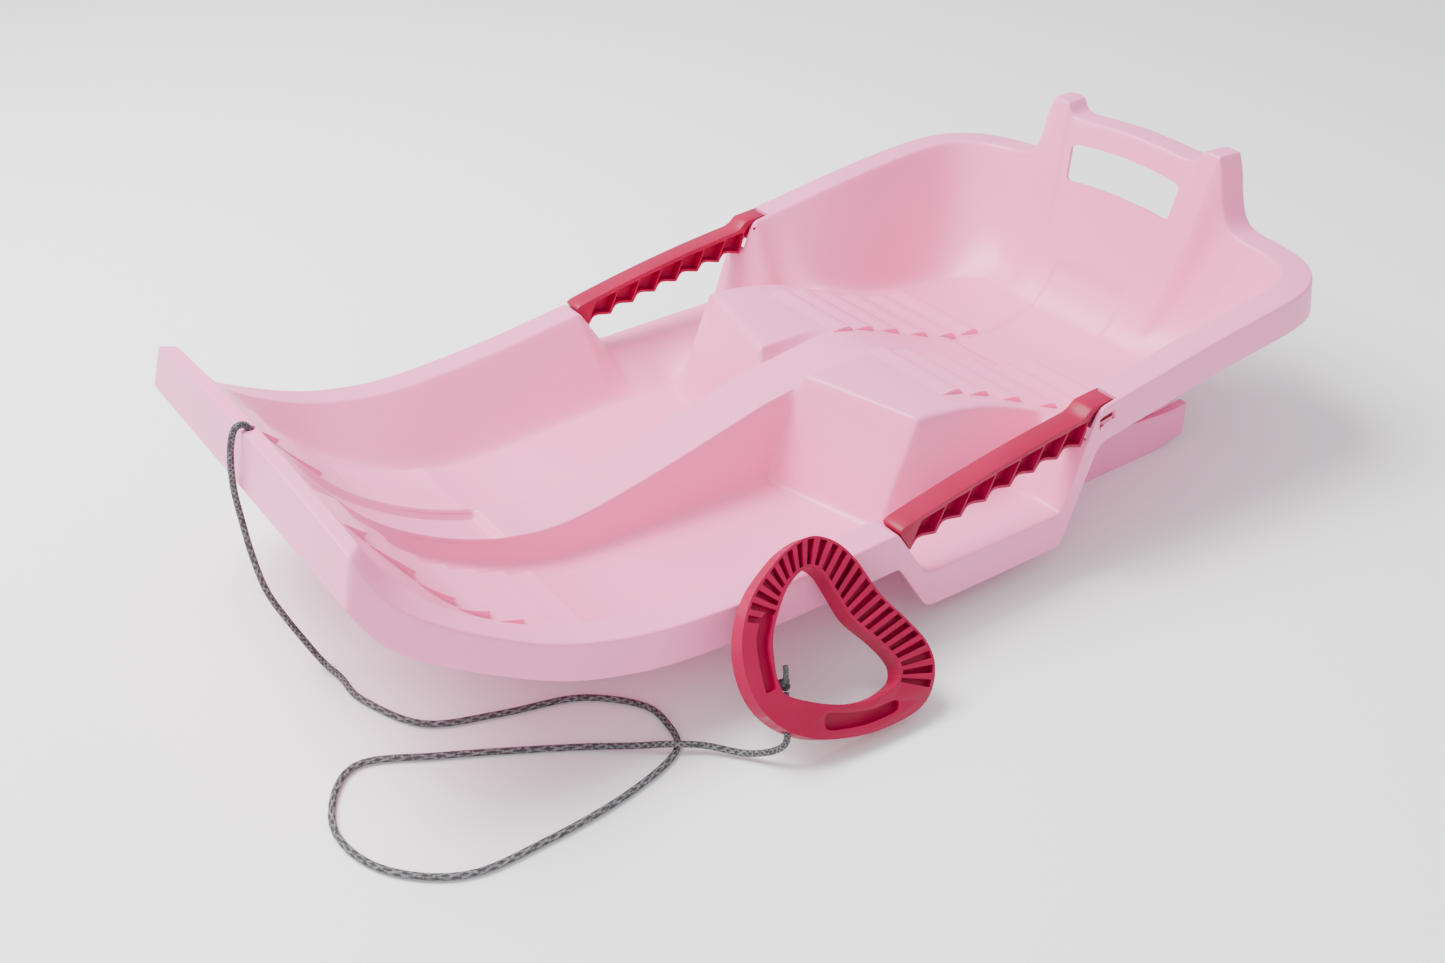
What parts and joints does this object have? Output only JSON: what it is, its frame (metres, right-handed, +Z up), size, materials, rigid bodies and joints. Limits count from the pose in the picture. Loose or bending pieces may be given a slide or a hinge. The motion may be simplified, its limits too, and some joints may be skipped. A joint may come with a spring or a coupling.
{
  "type": "bob sled",
  "caption": "One-seat plastic bob sled: moulded tub hull with footwells, backrest and rear carry grip, hinged brake levers on the side rims, and a pull rope with a ring handle.",
  "frame": {"origin": "on the ground, at the middle of the hull's length and width", "axes": "+X along the hull to the rear, +Y to the left side of a rider who faces the nose at -X, +Z up"},
  "size_m": [0.9752, 0.5802, 0.241],
  "materials": {
    "hull_plastic": "satin",
    "lever_plastic": "satin",
    "pin_steel": "brushed",
    "rope": "matt braid"
  },
  "bodies": {
    "sled": {"hull": "hull_plastic", "pin_left": "pin_steel", "pin_right": "pin_steel", "pull_rope": "rope", "rim_knot": "rope", "pull_ring": "lever_plastic", "ring_knot": "rope"},
    "brake_left": {"lever_left": "lever_plastic"},
    "brake_right": {"lever_right": "lever_plastic"}
  },
  "joints": [
    {"name": "brake_lever_left", "type": "hinge", "parent": "sled", "child": "brake_left", "pos_m": [0.1465, 0.2335, 0.125], "axis": [0, 1, 0], "range_deg": [0, 70]},
    {"name": "brake_lever_right", "type": "hinge", "parent": "sled", "child": "brake_right", "pos_m": [0.1465, -0.2335, 0.125], "axis": [0, 1, 0], "range_deg": [0, 70]}
  ]
}
